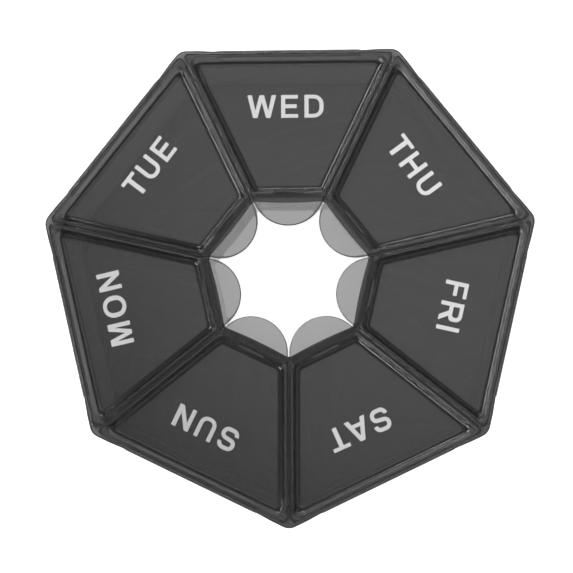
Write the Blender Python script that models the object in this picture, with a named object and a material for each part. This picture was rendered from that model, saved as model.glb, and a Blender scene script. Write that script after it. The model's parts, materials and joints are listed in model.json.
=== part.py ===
"""Weekly pill case: a seven-sided tray with seven flip lids on film hinges.

Lengths are in metres, +Z is up and the case stands on Z = 0. The compartment on the +Y side
is Wednesday's, and the days run clockwise as seen from above.
"""

import math

import bmesh
import bpy
from mathutils import Matrix, Vector

# Whole case. An apothem is the distance from the case's centre to a side, square to it.
DAYS = ("wed", "thu", "fri", "sat", "sun", "mon", "tue")
SIDES = len(DAYS)
FOLD_APOTHEM = 0.05175  # to the fold line of a film hinge, which is its lid's joint axis
TRAY_HEIGHT = 0.0209
SEAT_GAP = 0.0003  # between pieces that touch
CUT_OVERRUN = 0.0010  # how far a cutter runs past what it cuts

# Film hinges: thin strips folded to a half circle round the fold line
FILM_THICK = 0.00025
FILM_FOLD_RADIUS = 0.0004  # to the outside of the fold
FILM_END_SPACE = 0.0084  # from the end of a film hinge to the case's corner
FILM_STEPS = 6

# Tray: outer wall and rim
WALL = 0.0010
WALL_DRAFT = 0.0004  # how far the wall leans in, from its top to the floor
BASE_ROUND = 0.0010
BODY_CORNER = 0.0060
RIM_THICK = 0.0008
RIM_OVERHANG = 0.00165  # how far the flare under the rim stands out from the wall
RIM_LAND = 0.0003  # flat top between the lid's hinge edge and the compartment's mouth
EAR_REACH = 0.0002  # how far the rim's corners stand out past the fold lines
EAR_TAPER = 0.0040  # length over which an ear comes out to its full reach
RIM_CORNER = 0.0030
FLOOR = 0.0012
FLOOR_ROUND = 0.0012  # where a compartment's walls run into its floor
CORNER_STEPS = 6

# Tray: dividers and the wall of the central opening
DIVIDER_TOP = 0.0013
DIVIDER_BASE = 0.0016
HOLE_APOTHEM = 0.0169
HOLE_WALL = 0.0013
HOLE_DRAFT = 0.0002
HOLE_CORNER = 0.0015
POCKET_CORNER = 0.0016
POCKET_STEPS = 4

# Lids: a flange, a shallow pan with sloped sides, a round thumb tab and a latch rib
LID_WALL = 0.0008
LID_GAP = 0.0003  # between neighbouring lids
LID_CORNER = 0.0010
LID_EDGE_BREAK = 0.0002  # chamfer along the flange's top edge
PAN_DEPTH = 0.0016
PAN_SLOPE_RUN = 0.0016  # width of the sloped side, seen from above
PAN_HINGE_LAND = 0.00075  # flange left between the hinge edge and the pan
PAN_SIDE_LAND = 0.00085  # flange left between a side edge and the pan
PAN_LATCH_LAND = 0.0008  # from the opening's wall to the pan
PAN_CORNER = 0.0013
PANEL_CORNER = 0.0006  # at the foot of the slope, round the flat panel
PAN_STEPS = 4
TAB_TIP = 0.0113  # case centre to the tip of a thumb tab
TAB_STEPS = 20
LATCH_WIDTH = 0.0065
LATCH_THICK = 0.0010
LATCH_DROP = 0.0012  # how far the rib reaches below the flange

# Sizes that follow from those above
HALF_TURN = math.pi / SIDES  # half of one sector's angle
LID_EDGE = FOLD_APOTHEM - FILM_FOLD_RADIUS - SEAT_GAP
FILM_LENGTH = 2 * (FOLD_APOTHEM * math.tan(HALF_TURN) - FILM_END_SPACE)
EAR_APOTHEM = FOLD_APOTHEM + EAR_REACH
FILM_SLOT = FILM_LENGTH / 2 + SEAT_GAP  # half the gap in the rim that a hinge lies in
EAR_START = FILM_SLOT + EAR_TAPER
MOUTH_APOTHEM = LID_EDGE - RIM_LAND
BODY_APOTHEM = LID_EDGE - RIM_OVERHANG  # to the outside of the wall, just under the flare
POCKET_APOTHEM = BODY_APOTHEM - WALL
FLARE_DROP = MOUTH_APOTHEM - POCKET_APOTHEM
HOLE_BACK = HOLE_APOTHEM + HOLE_WALL
FOLD_HEIGHT = TRAY_HEIGHT + SEAT_GAP / 2
LID_BOTTOM = SEAT_GAP / 2  # the flange's underside, above the fold line
LID_TOP = LID_BOTTOM + LID_WALL
TAB_CENTRE = (TAB_TIP - LID_GAP / 2) / (1 - math.sin(HALF_TURN))
VERTEX_REACH = EAR_APOTHEM / math.cos(HALF_TURN) - RIM_CORNER * (1 / math.cos(HALF_TURN) - 1)
CENTRE_Y = (VERTEX_REACH - FOLD_APOTHEM) / 2  # puts the origin at the middle of the outline

SMOKE_COLOUR = (0.13, 0.13, 0.135, 1.0)
SMOKE_ROUGHNESS = 0.16
SMOKE_TRANSMISSION = 0.6
SMOOTH_ANGLE = math.radians(30)


def clear_scene():
    """Remove every object that the file opened with."""
    for old in list(bpy.data.objects):
        bpy.data.objects.remove(old, do_unlink=True)


def smoke_plastic(name):
    """Smoke-grey see-through polypropylene, one material for each piece."""
    material = bpy.data.materials.new(name)
    material.use_nodes = True
    shader = material.node_tree.nodes["Principled BSDF"]
    shader.inputs["Base Color"].default_value = SMOKE_COLOUR
    shader.inputs["Roughness"].default_value = SMOKE_ROUGHNESS
    shader.inputs["Metallic"].default_value = 0.0
    shader.inputs["Transmission Weight"].default_value = SMOKE_TRANSMISSION
    return material


def sector_turn(index):
    """Turn about Z that carries the +Y sector to the sector of this index."""
    return -index * 2 * HALF_TURN


def turned(point, angle):
    """A point of the plan turned about the case's centre."""
    return Matrix.Rotation(angle, 2) @ Vector(point)


def rounded(corners, steps):
    """A closed plan outline from (point, radius) pairs, with an arc in each corner that has a radius."""
    outline = []
    for index, (corner, radius) in enumerate(corners):
        corner = Vector(corner)
        if radius == 0:
            outline.append(corner)
            continue
        back = (Vector(corners[index - 1][0]) - corner).normalized()
        ahead = (Vector(corners[(index + 1) % len(corners)][0]) - corner).normalized()
        half = back.angle(ahead) / 2
        centre = corner + (back + ahead).normalized() * radius / math.sin(half)
        start = corner + back * radius / math.tan(half) - centre
        sweep = start.angle_signed(corner + ahead * radius / math.tan(half) - centre)
        for step in range(steps + 1):
            outline.append(centre + Matrix.Rotation(-sweep * step / steps, 2) @ start)
    return outline


def case_outline(side, ear, corner):
    """The case's seven-sided plan: side is its apothem along the hinges, ear its apothem at the corners."""
    shoulder = max(side, min(ear, FOLD_APOTHEM))
    straight = (ear - corner) / (EAR_APOTHEM - RIM_CORNER)
    places = (
        (-EAR_START, ear),
        (-FILM_SLOT - SEAT_GAP, shoulder),
        (-FILM_SLOT, side),
        (FILM_SLOT, side),
        (FILM_SLOT + SEAT_GAP, shoulder),
        (EAR_START, ear),
    )
    corners = []
    for index in range(SIDES):
        turn = sector_turn(index)
        corners += [(turned((along * straight, out), turn), 0) for along, out in places]
        vertex = (0, ear / math.cos(HALF_TURN))
        corners.append((turned(vertex, turn - HALF_TURN), corner))
    return rounded(corners, CORNER_STEPS)


def wedge_outline(outer, inner, side, corner, steps):
    """A sector's plan between two apothems, set in from the seam on each side, with four round corners."""
    slope = math.tan(HALF_TURN)
    shift = side / math.cos(HALF_TURN)
    wide = outer * slope - shift
    narrow = inner * slope - shift
    corners = ((-wide, outer), (wide, outer), (narrow, inner), (-narrow, inner))
    return rounded([(point, corner) for point in corners], steps)


def lid_outline(inset):
    """A lid's plan: hinge edge, two side edges along the seams, and the round tab that they run into."""
    side = LID_GAP / 2 + inset
    outer = LID_EDGE - inset
    wide = outer * math.tan(HALF_TURN) - side / math.cos(HALF_TURN)
    radius = TAB_CENTRE * math.sin(HALF_TURN) - side
    foot = Vector((radius * math.cos(HALF_TURN), TAB_CENTRE - radius * math.sin(HALF_TURN)))
    corners = (
        ((-foot.x, foot.y), 0),
        ((-wide, outer), LID_CORNER - inset),
        ((wide, outer), LID_CORNER - inset),
        (foot, 0),
    )
    outline = rounded(corners, PAN_STEPS)
    sweep = math.pi - 2 * HALF_TURN
    for step in range(1, TAB_STEPS):
        angle = -HALF_TURN - sweep * step / TAB_STEPS
        outline.append(Vector((radius * math.cos(angle), TAB_CENTRE + radius * math.sin(angle))))
    return outline


def pan_outline(inset, corner):
    """The pan's plan, set in by a length from the edge where it leaves the flange."""
    outer = LID_EDGE - PAN_HINGE_LAND - inset
    inner = HOLE_BACK + PAN_LATCH_LAND + inset
    side = LID_GAP / 2 + PAN_SIDE_LAND + inset
    return wedge_outline(outer, inner, side, corner, PAN_STEPS)


def add_loft(mesh, levels, turn=0):
    """Add a closed body that runs through plan outlines of equal count, as (height, outline) pairs."""
    rings = []
    for height, outline in levels:
        points = [turned(point, turn) for point in outline]
        ring = [mesh.verts.new((point.x, point.y, height)) for point in points]
        edges = [mesh.edges.new((ring[i - 1], ring[i])) for i in range(len(ring))]
        rings.append(edges)
    for lower, upper in zip(rings, rings[1:]):
        bmesh.ops.bridge_loops(mesh, edges=lower + upper)
    bmesh.ops.contextual_create(mesh, geom=rings[0])
    bmesh.ops.contextual_create(mesh, geom=rings[-1])


def add_object(name, mesh):
    """Turn a bmesh into a scene object with its faces pointing out."""
    bmesh.ops.recalc_face_normals(mesh, faces=mesh.faces)
    data = bpy.data.meshes.new(name)
    mesh.to_mesh(data)
    mesh.free()
    result = bpy.data.objects.new(name, data)
    bpy.context.scene.collection.objects.link(result)
    return result


def loft_object(name, levels):
    """One lofted body as an object."""
    mesh = bmesh.new()
    add_loft(mesh, levels)
    return add_object(name, mesh)


def combine(target, tool, operation):
    """Join a tool to a piece, or cut it out, and keep the tool as a hidden guide."""
    modifier = target.modifiers.new(tool.name, "BOOLEAN")
    modifier.operation = operation
    modifier.solver = "EXACT"
    modifier.object = tool
    tool.hide_render = True
    tool.display_type = "WIRE"


def settle(piece):
    """Make a piece's modifiers real, so that copies can share the finished mesh."""
    bpy.context.view_layer.update()
    finished = bpy.data.meshes.new_from_object(piece.evaluated_get(bpy.context.evaluated_depsgraph_get()))
    piece.modifiers.clear()
    piece.data = finished


def finish(piece):
    """Smooth the round faces and give the piece its own material."""
    piece.data.shade_smooth()
    piece.data.set_sharp_from_angle(angle=SMOOTH_ANGLE)
    piece.data.materials.clear()
    piece.data.materials.append(smoke_plastic(piece.name + "_smoke"))


def tray_body_levels():
    """The tray's outside from the base to the rim: drafted wall, flare, and rim with ears at the corners."""
    foot = BODY_APOTHEM - WALL_DRAFT
    flare_foot = TRAY_HEIGHT - RIM_THICK - RIM_OVERHANG
    rim = case_outline(LID_EDGE, EAR_APOTHEM, RIM_CORNER)
    base = case_outline(foot - BASE_ROUND, foot - BASE_ROUND, BODY_CORNER - BASE_ROUND)
    round_reach = BASE_ROUND * (1 - math.sin(math.pi / 4))
    middle = case_outline(foot - round_reach, foot - round_reach, BODY_CORNER - round_reach)
    return (
        (0, base),
        (round_reach, middle),
        (BASE_ROUND, case_outline(foot, foot, BODY_CORNER)),
        (flare_foot, case_outline(BODY_APOTHEM, BODY_APOTHEM, BODY_CORNER)),
        (TRAY_HEIGHT - RIM_THICK, rim),
        (TRAY_HEIGHT, rim),
    )


def pocket_levels():
    """A compartment's hollow from its rounded floor to its flared mouth."""
    levels = []
    for step in range(POCKET_STEPS):
        angle = math.pi / 2 * step / (POCKET_STEPS - 1)
        inset = FLOOR_ROUND * (1 - math.sin(angle))
        height = FLOOR + FLOOR_ROUND * (1 - math.cos(angle))
        outline = wedge_outline(
            POCKET_APOTHEM - WALL_DRAFT - inset,
            HOLE_BACK + HOLE_DRAFT + inset,
            DIVIDER_BASE / 2 + inset,
            POCKET_CORNER - inset,
            POCKET_STEPS,
        )
        levels.append((height, outline))
    top = DIVIDER_TOP / 2
    neck = wedge_outline(POCKET_APOTHEM, HOLE_BACK, top, POCKET_CORNER, POCKET_STEPS)
    mouth = wedge_outline(MOUTH_APOTHEM, HOLE_BACK, top, POCKET_CORNER, POCKET_STEPS)
    levels.append((TRAY_HEIGHT - FLARE_DROP, neck))
    levels.append((TRAY_HEIGHT, mouth))
    levels.append((TRAY_HEIGHT + CUT_OVERRUN, mouth))
    return levels


def hole_outline(apothem):
    """The central opening's plan, a heptagon in line with the case."""
    vertex = (0, apothem / math.cos(HALF_TURN))
    corners = [(turned(vertex, sector_turn(index) - HALF_TURN), HOLE_CORNER) for index in range(SIDES)]
    return rounded(corners, POCKET_STEPS)


def make_tray():
    """The tray: one lofted body with seven compartments and the central opening cut out of it."""
    tray = loft_object("tray", tray_body_levels())
    hollows = bmesh.new()
    for index in range(SIDES):
        add_loft(hollows, pocket_levels(), sector_turn(index))
    narrow = hole_outline(HOLE_APOTHEM)
    wide = hole_outline(HOLE_APOTHEM + HOLE_DRAFT)
    add_loft(hollows, ((-CUT_OVERRUN, wide), (TRAY_HEIGHT + CUT_OVERRUN, narrow)))
    combine(tray, add_object("tray_hollows", hollows), "DIFFERENCE")
    settle(tray)
    tray.location = (0, CENTRE_Y, 0)
    finish(tray)
    return tray


def pan_shell_levels():
    """The outside of the pan under the flange, one wall thickness from the sloped side above it."""
    slope = PAN_SLOPE_RUN / PAN_DEPTH
    offset = LID_WALL * math.hypot(1, slope)
    bottom = LID_TOP - PAN_DEPTH - LID_WALL
    start = LID_BOTTOM + LID_WALL / 2
    break_height = bottom + LID_EDGE_BREAK
    top_inset = (LID_TOP - start) * slope - offset
    break_inset = (LID_TOP - break_height) * slope - offset
    return (
        (start, pan_outline(top_inset, PAN_CORNER)),
        (break_height, pan_outline(break_inset, PANEL_CORNER)),
        (bottom, pan_outline(break_inset + 2 * LID_EDGE_BREAK, PANEL_CORNER)),
    )


def pan_hollow_levels():
    """The hollow of the pan, from above the flange down to the flat panel."""
    overrun_inset = -CUT_OVERRUN / 2 * PAN_SLOPE_RUN / PAN_DEPTH
    return (
        (LID_TOP + CUT_OVERRUN / 2, pan_outline(overrun_inset, PAN_CORNER)),
        (LID_TOP - PAN_DEPTH, pan_outline(PAN_SLOPE_RUN, PANEL_CORNER)),
    )


def latch_levels():
    """The latch rib: a short upright wall that bears on the inside of the opening's wall."""
    front = HOLE_BACK + SEAT_GAP
    back = front + LATCH_THICK
    half = LATCH_WIDTH / 2
    corners = ((-half, back), (half, back), (half, front), (-half, front))
    outline = [Vector(corner) for corner in corners]
    return ((LID_BOTTOM - LATCH_DROP, outline), (LID_BOTTOM + LID_WALL / 2, outline))


def make_lids():
    """Seven lids that share one mesh, each with its origin on its own fold line."""
    edge = lid_outline(0)
    broken = lid_outline(LID_EDGE_BREAK)
    plate = ((LID_BOTTOM, edge), (LID_TOP - LID_EDGE_BREAK, edge), (LID_TOP, broken))
    master = loft_object("lid_" + DAYS[0], plate)
    combine(master, loft_object("pan_shell", pan_shell_levels()), "UNION")
    combine(master, loft_object("latch_rib", latch_levels()), "UNION")
    combine(master, loft_object("pan_hollow", pan_hollow_levels()), "DIFFERENCE")
    settle(master)
    master.data.transform(Matrix.Translation((0, -FOLD_APOTHEM, 0)))
    return placed_copies("lid_", master)


def make_hinges():
    """Seven film hinges that share one mesh: a strip folded to a half circle along the fold line."""
    inner = FILM_FOLD_RADIUS - FILM_THICK
    section = []
    for radius, angles in ((FILM_FOLD_RADIUS, range(FILM_STEPS + 1)), (inner, range(FILM_STEPS, -1, -1))):
        for step in angles:
            angle = math.pi * step / FILM_STEPS - math.pi / 2
            section.append((radius * math.cos(angle) - FILM_FOLD_RADIUS, radius * math.sin(angle)))
    mesh = bmesh.new()
    ring = [mesh.verts.new((-FILM_LENGTH / 2, y, z)) for y, z in section]
    face = mesh.faces.new(ring)
    swept = bmesh.ops.extrude_face_region(mesh, geom=[face])["geom"]
    moved = [item for item in swept if isinstance(item, bmesh.types.BMVert)]
    bmesh.ops.translate(mesh, verts=moved, vec=(FILM_LENGTH, 0, 0))
    return placed_copies("hinge_", add_object("hinge_" + DAYS[0], mesh))


def placed_copies(prefix, master):
    """Place a piece on the first sector's fold line and a copy on each of the others."""
    pieces = []
    for index, day in enumerate(DAYS):
        piece = master
        if index > 0:
            piece = bpy.data.objects.new(prefix + day, master.data.copy())
            bpy.context.scene.collection.objects.link(piece)
        piece.name = prefix + day
        fold = turned((0, FOLD_APOTHEM), sector_turn(index))
        piece.location = (fold.x, fold.y + CENTRE_Y, FOLD_HEIGHT)
        piece.rotation_euler = (0, 0, sector_turn(index))
        finish(piece)
        pieces.append(piece)
    return pieces


def main():
    clear_scene()
    make_tray()
    make_lids()
    make_hinges()


main()
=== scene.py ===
"""Weekly pill case: finished pieces, materials and stage, built over the packed CAD frame.

Lengths are in metres and +Z is up. Plans are drawn about the middle of the case with one lid
towards +Y, and each piece is then put in its place in its mesh, so every object stays at the origin.
"""

import json
import math

import bmesh
import bpy
from bpy.props import FloatProperty, FloatVectorProperty, PointerProperty
from bpy.types import Operator, Panel, PropertyGroup
from mathutils import Matrix, Vector


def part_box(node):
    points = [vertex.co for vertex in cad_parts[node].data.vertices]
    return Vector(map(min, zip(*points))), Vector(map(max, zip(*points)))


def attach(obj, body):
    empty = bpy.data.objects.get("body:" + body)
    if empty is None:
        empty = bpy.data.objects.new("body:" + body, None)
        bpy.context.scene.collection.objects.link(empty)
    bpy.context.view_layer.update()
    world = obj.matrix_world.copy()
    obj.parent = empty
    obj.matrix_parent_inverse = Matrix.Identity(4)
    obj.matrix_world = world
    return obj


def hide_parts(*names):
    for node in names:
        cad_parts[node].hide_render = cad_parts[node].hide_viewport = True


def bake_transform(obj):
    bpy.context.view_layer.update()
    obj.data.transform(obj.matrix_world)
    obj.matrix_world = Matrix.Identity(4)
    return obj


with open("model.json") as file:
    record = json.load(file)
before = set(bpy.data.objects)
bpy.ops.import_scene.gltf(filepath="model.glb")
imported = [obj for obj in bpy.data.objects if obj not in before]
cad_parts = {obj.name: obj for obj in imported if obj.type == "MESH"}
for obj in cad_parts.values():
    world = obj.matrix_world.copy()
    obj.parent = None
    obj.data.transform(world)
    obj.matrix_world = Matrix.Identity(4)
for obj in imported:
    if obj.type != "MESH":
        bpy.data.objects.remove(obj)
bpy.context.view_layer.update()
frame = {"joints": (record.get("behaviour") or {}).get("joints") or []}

bl_info = {
    "name": "Weekly Pill Case",
    "version": (1, 0, 0),
    "blender": (4, 5, 0),
    "location": "3D View > Sidebar > Pill Case",
    "description": "Builds a see-through weekly pill case over its CAD frame, with a stage to show it",
    "category": "Add Mesh",
}

# Taken from the frame, so that the pieces stay where the CAD has them
FOLDS = {joint["child"][4:]: Vector(joint["pos_m"]) for joint in frame["joints"]}
SIDES = len(FOLDS)
HALF_TURN = math.pi / SIDES
CENTRE = sum(FOLDS.values(), Vector()) / SIDES
FOLD_APOTHEM = (FOLDS["wed"] - CENTRE).length
FOLD_HEIGHT = CENTRE.z
LID_LOW, LID_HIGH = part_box("lid_wed")
LID_EDGE = LID_HIGH.y - CENTRE.y
LID_TOP = LID_HIGH.z
TAB_TIP = LID_LOW.y - CENTRE.y
TRAY_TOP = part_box("tray")[1].z
FILM_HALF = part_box("hinge_wed")[1].x

# How finely round forms are cut up
ARC_STEPS = 8
EDGE_STEPS = 4
BOW_STEPS = 6
TAB_POINTS = 40
FILM_STEPS = 12
LETTER_STEPS = 10
SMOOTH_ANGLE = math.radians(35)
NORMAL_WEIGHT = 80
MERGE_DISTANCE = 1e-7

# Small sizes, in metres
OVERRUN = 0.001  # how far a cutter runs past what it cuts
OPENING_DRAFT = 0.0002  # how far the opening is wider at its foot
FLARE_START = 0.0005  # height over which the wall eases into the flare
FLARE_END = 0.0002  # height over which the flare eases into the rim
FLARE_STRAIGHT = (0.3, 0.85)  # the flare's straight part, as shares of its width
NECK_EASE = 0.0004  # height over which a compartment's wall eases into its mouth
SHOULDER_SHARE = 0.4  # how much of an inset the rim takes beside a film
DIP_FADE = 0.0016  # length over which the dip by the latch dies out on the pan
DIP_LOW = 0.00075  # how far under the lid's top the dip ends
DIP_RISE = 0.00045  # height over which it comes to its full depth
RIB_ROUND = 0.0002  # along the latch rib's lower edges
RIB_CORNER = 0.0003  # at its four corners
FEWEST_TRAY_FACES = 1000  # fewer means that a cut failed

NOISE_MIDDLE = (0.3, 0.7)  # the values that most of a noise lies between

# Plastic: sizes of what the noise draws and heights of bumps, in metres
SMUDGE_RANGE = (0.42, 0.72)
SMUDGE_SIZE = 0.014
GRAIN_SIZE = 0.0007
GRAIN_ROUGHNESS = 0.012
FLOW_SIZE = 0.010
FLOW_TONE = (0.965, 1.0)
WAVE_HEIGHT = 0.0004
PEEL_SIZE = 0.0016
PEEL_HEIGHT = 0.00003
PLASTIC_IOR = 1.49

# Ink, the same way
CLOUD_SIZE = 0.0011
CLOUD_LOSS = 0.06
SPECK_SIZE = 0.00016
SPECK_RANGE = (0.25, 0.6)
INK_ROUGHNESS = (0.5, 0.62)
INK_HEIGHT = 0.00002
BARE_PANEL = (0.12, 0.12, 0.12, 1.0)

WHITE = (1.0, 1.0, 1.0, 1.0)
BLACK = (0.0, 0.0, 0.0, 1.0)

# Floor: its half width, and the apothems between which its glow is taken away under the case and faded out
# past its foot, a painted shadow
FLOOR_REACH = 3.0
FLOOR_CELLS = 8
PAINTED_SHADOW_FROM = (0.0170, 0.0172)
PAINTED_SHADOW_TO_EYE = (0.0484, 0.0522)
PAINTED_SHADOW_TO_PLASTIC = (0.0560, 0.0800)

# Light overhead: lean from straight up, heading clockwise from +Y, half width and softness in degrees
OVERHEAD_LEAN = math.radians(9.8)
OVERHEAD_HEADING = math.radians(10)
OVERHEAD_HALF = 10.0
OVERHEAD_SOFT = 8.0

# Strip lights: lowest and highest Z of their directions, Z over which they fade, softness of their ends
# and (heading, half width, share of the strength), in degrees
STRIP_LOW = math.cos(math.radians(75))
STRIP_HIGH = math.cos(math.radians(53))
STRIP_FADE = 0.11
STRIP_SOFT = 6.0
STRIPS = ((-64, 14, 0.82), (-122, 22, 0.83), (-13, 12, 0.66), (105, 62, 0.08))

SENSOR_WIDTH = 36.0
CLIP_START = 0.01


def length(name, description, default, **limits):
    """A length that a user may change, shown in the scene's own units."""
    return FloatProperty(name=name, description=description, default=default, min=0.0, precision=5,
                         subtype="DISTANCE", unit="LENGTH", **limits)


def factor(name, description, default):
    """A share between 0 and 1 that a user may change."""
    return FloatProperty(name=name, description=description, default=default, min=0.0, max=1.0,
                         subtype="FACTOR")


def rgb(name, description, default):
    """A colour that a user may change."""
    return FloatVectorProperty(name=name, description=description, default=default, min=0.0, max=1.0,
                               size=3, subtype="COLOR")


class TraySizes(PropertyGroup):
    """Sizes of the tray."""
    wall: length("Wall", "Thickness of the outer wall", 0.0010)
    draft: length("Wall Draft", "How far the outer wall leans in from its top to the base", 0.0004)
    floor: length("Floor", "Thickness under the compartments", 0.0012)
    base_round: length("Base Round", "Radius along the bottom edge", 0.0010)
    floor_round: length("Floor Round", "Radius where a compartment's walls run into its floor", 0.0012)
    body_corner: length("Body Corner", "Radius of the seven outer corners", 0.0060)
    rim_corner: length("Rim Corner", "Radius of the rim's seven corners", 0.0031)
    rim: length("Rim", "Height of the rim", 0.0008)
    overhang: length("Rim Overhang", "How far the rim stands out from the wall", 0.00165)
    ear_reach: length("Ear Reach", "How far the rim's corners stand out past the fold lines", 0.00020)
    ear_taper: length("Ear Taper", "Length over which a corner comes out to its full reach", 0.0040)
    land: length("Rim Land", "Flat top of the rim along a hinge", 0.0003)
    slot_gap: length("Film Slot", "Space between a film hinge's end and the rim", 0.00005)
    divider_top: length("Divider Top", "Thickness of a divider at its top", 0.0013)
    divider_base: length("Divider Base", "Thickness of a divider at the floor", 0.0016)
    opening: length("Opening", "Centre to a side of the opening", 0.0169)
    opening_wall: length("Opening Wall", "Thickness of the wall round the opening", 0.0013)
    opening_corner: length("Opening Corner", "Radius of the opening's corners", 0.0015)
    bow: length("Opening Bow", "How far each side of the opening bows towards the middle", 0.0003)
    pocket_corner: length("Compartment Corner", "Radius of a compartment's corners", 0.0016)
    divider_round: length("Divider Round", "Radius along the tops of the dividers", 0.0005)
    edge: length("Edge Round", "Radius along the rim", 0.0001)
    opening_edge: length("Opening Edge", "Radius along the upper edge of the opening", 0.00035)
    opening_foot: length("Opening Foot", "Radius along the lower edge of the opening", 0.00010)


class LidSizes(PropertyGroup):
    """Sizes of the seven lids."""
    wall: length("Wall", "Thickness of a lid", 0.0008)
    gap: length("Gap", "Space between neighbouring lids", 0.0003)
    corner: length("Corner", "Radius of the two corners at the hinge", 0.0010)
    edge_top: length("Top Edge", "Width of the round along the upper edge", 0.00048)
    edge_tab: length("Tab Edge", "Width of that round at the thumb tab's tip", 0.00028)
    edge_fall: length("Edge Fall", "Height of the round along the upper edge", 0.00030)
    edge_bottom: length("Bottom Edge", "Radius along the lower edge", 0.00012)
    depth: length("Pan Depth", "How far the panel lies under the flange", 0.0016)
    slope: length("Slope", "Width of the steep side, seen from above", 0.00072)
    under_slope: length("Under Slope", "Width of the side's underside, seen from above", 0.0016)
    lip: length("Lip", "How far the flange reaches out over the film hinge", 0.0002)
    hinge_land: length("Hinge Land", "Flange between the hinge and the pan", 0.00070)
    side_land: length("Side Land", "Flange between a side and the pan", 0.00085)
    latch_land: length("Latch Land", "From the opening's wall to the pan", 0.0008)
    pan_corner: length("Pan Corner", "Radius of the pan's corners", 0.0013)
    panel_corner: length("Panel Corner", "Radius of the panel's corners", 0.0009)
    brow: length("Brow", "Radius where the flange turns into the side", 0.00015)
    foot: length("Foot", "Radius where the side turns into the panel", 0.00150)
    under_foot: length("Under Foot", "Radius along the pan's underside", 0.00050)
    dip: length("Latch Dip", "How far the flange falls towards the pan beside the latch", 0.00035)
    rib_width: length("Latch Width", "Length of the latch rib", 0.0065)
    rib: length("Latch Rib", "Thickness of the latch rib", 0.0010)
    rib_drop: length("Latch Drop", "How far the rib reaches under the flange", 0.0012)
    seat: length("Seat Gap", "Space between the rib and the opening's wall", 0.0003)


class FilmSizes(PropertyGroup):
    """Sizes of the seven film hinges."""
    thickness: length("Thickness", "Thickness of the film", 0.00025)
    fold: length("Fold", "Radius to the outside of the fold", 0.0004)
    bulge: length("Bulge", "How far the fold stands out past the fold line", 0.00012)
    root: length("Root", "How much the film thickens where it joins a moulding", 0.00010)
    embed: length("Embed", "How far the film runs into the rim and the lid", 0.00005)
    # Painted shade: the film is the same plastic as the mouldings, made denser here to stand in for the
    # shadowed floor seen through it
    painted_shade_factor: FloatProperty(name="Darker", default=3.5, min=0.0,
                          description="How many times denser than the mouldings the film looks")


class LetterSizes(PropertyGroup):
    """Sizes and colour of the printed weekdays."""
    cap: length("Cap Height", "Height of the letters", 0.00527)
    ink: length("Ink", "How far the ink stands on the panel", 0.00003)
    colour: rgb("Colour", "Colour of the ink", (0.825, 0.825, 0.82))


class PlasticLook(PropertyGroup):
    """Finish of the smoke plastic."""
    colour: rgb("Surface Tint", "Tint taken at the surface", (0.81, 0.81, 0.815))
    smoke: rgb("Smoke", "Colour that deep plastic keeps", (0.10, 0.10, 0.11))
    density: FloatProperty(name="Density", description="How fast the plastic darkens with depth, per metre",
                           default=1250.0, min=0.0, max=20000.0)
    roughness: factor("Roughness", "Roughness of clean moulded plastic", 0.03)
    smudge: factor("Smudges", "Roughness that handling adds in patches", 0.05)
    haze: factor("Haze", "Share of the light that the plastic scatters", 0.010)
    ripple: factor("Ripple", "Depth of the faint waves in the moulded surface", 0.012)


class StageLook(PropertyGroup):
    """Floor, light and camera."""
    floor_colour: rgb("Floor", "Colour of the floor", (0.80, 0.80, 0.80))
    floor_glow: factor("Floor Glow", "White that the picture adds to the floor", 0.93)
    room: FloatProperty(name="Room", description="Strength of the light from the whole room",
                        default=0.41, min=0.0)
    overhead: FloatProperty(name="Overhead", description="Strength of the soft light above",
                            default=1.12, min=0.0)
    strips: FloatProperty(name="Strips", description="Strength of the low strip lights",
                          default=10.0, min=0.0)
    camera: FloatVectorProperty(name="Camera", description="Place of the camera from the middle of the lids",
                                subtype="XYZ", unit="LENGTH", size=3, default=(0.0195, -0.0310, 0.4175))
    aim: FloatVectorProperty(name="Aim", description="Point on the lids that the camera looks at",
                             subtype="XYZ", unit="LENGTH", size=3, default=(-0.00044, -0.00263, 0.0))
    roll: FloatProperty(name="Roll", description="Turn of the camera about its own axis",
                        default=math.radians(-0.11), subtype="ANGLE", unit="ROTATION")
    lens: FloatProperty(name="Lens", description="Focal length, in millimetres on a 36 mm sensor",
                        default=115.85, min=1.0)


def turned(point, angle):
    """A point of a plan turned about the middle of the case."""
    return Matrix.Rotation(angle, 2) @ Vector(point)


def lid_turn(day):
    """Turn about Z that carries the +Y lid to this day's place."""
    out = FOLDS[day] - CENTRE
    return math.atan2(-out.x, out.y)


def lid_place(day):
    """Matrix that carries a piece drawn for the +Y lid to this day's place."""
    return Matrix.Translation((CENTRE.x, CENTRE.y, 0)) @ Matrix.Rotation(lid_turn(day), 4, "Z")


def rounded(corners, steps=ARC_STEPS):
    """Plan outline through (point, radius) pairs, with an arc at each point that has a radius."""
    outline = []
    for index, (corner, radius) in enumerate(corners):
        corner = Vector(corner)
        if radius <= 0:
            outline.append(corner)
            continue
        back = (Vector(corners[index - 1][0]) - corner).normalized()
        ahead = (Vector(corners[(index + 1) % len(corners)][0]) - corner).normalized()
        half = back.angle(ahead) / 2
        middle = corner + (back + ahead).normalized() * radius / math.sin(half)
        start = corner + back * radius / math.tan(half) - middle
        sweep = start.angle_signed(corner + ahead * radius / math.tan(half) - middle)
        outline += [middle + turned(start, -sweep * step / steps) for step in range(steps + 1)]
    return outline


def spaced(start, end, count):
    """Evenly spaced points between two points, ends left out."""
    return [start.lerp(end, (index + 1) / (count + 1)) for index in range(count)]


def quarter(steps):
    """(sine, cosine) along a quarter circle."""
    angles = [math.pi / 2 * step / steps for step in range(steps + 1)]
    return [(math.sin(angle), math.cos(angle)) for angle in angles]


def eased(start, corner, end, steps):
    """Pairs along a smooth curve from start to end that leans towards the corner."""
    start, corner, end = Vector(start), Vector(corner), Vector(end)
    shares = [step / steps for step in range(steps + 1)]
    return [start.lerp(corner, share).lerp(corner.lerp(end, share), share) for share in shares]


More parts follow.
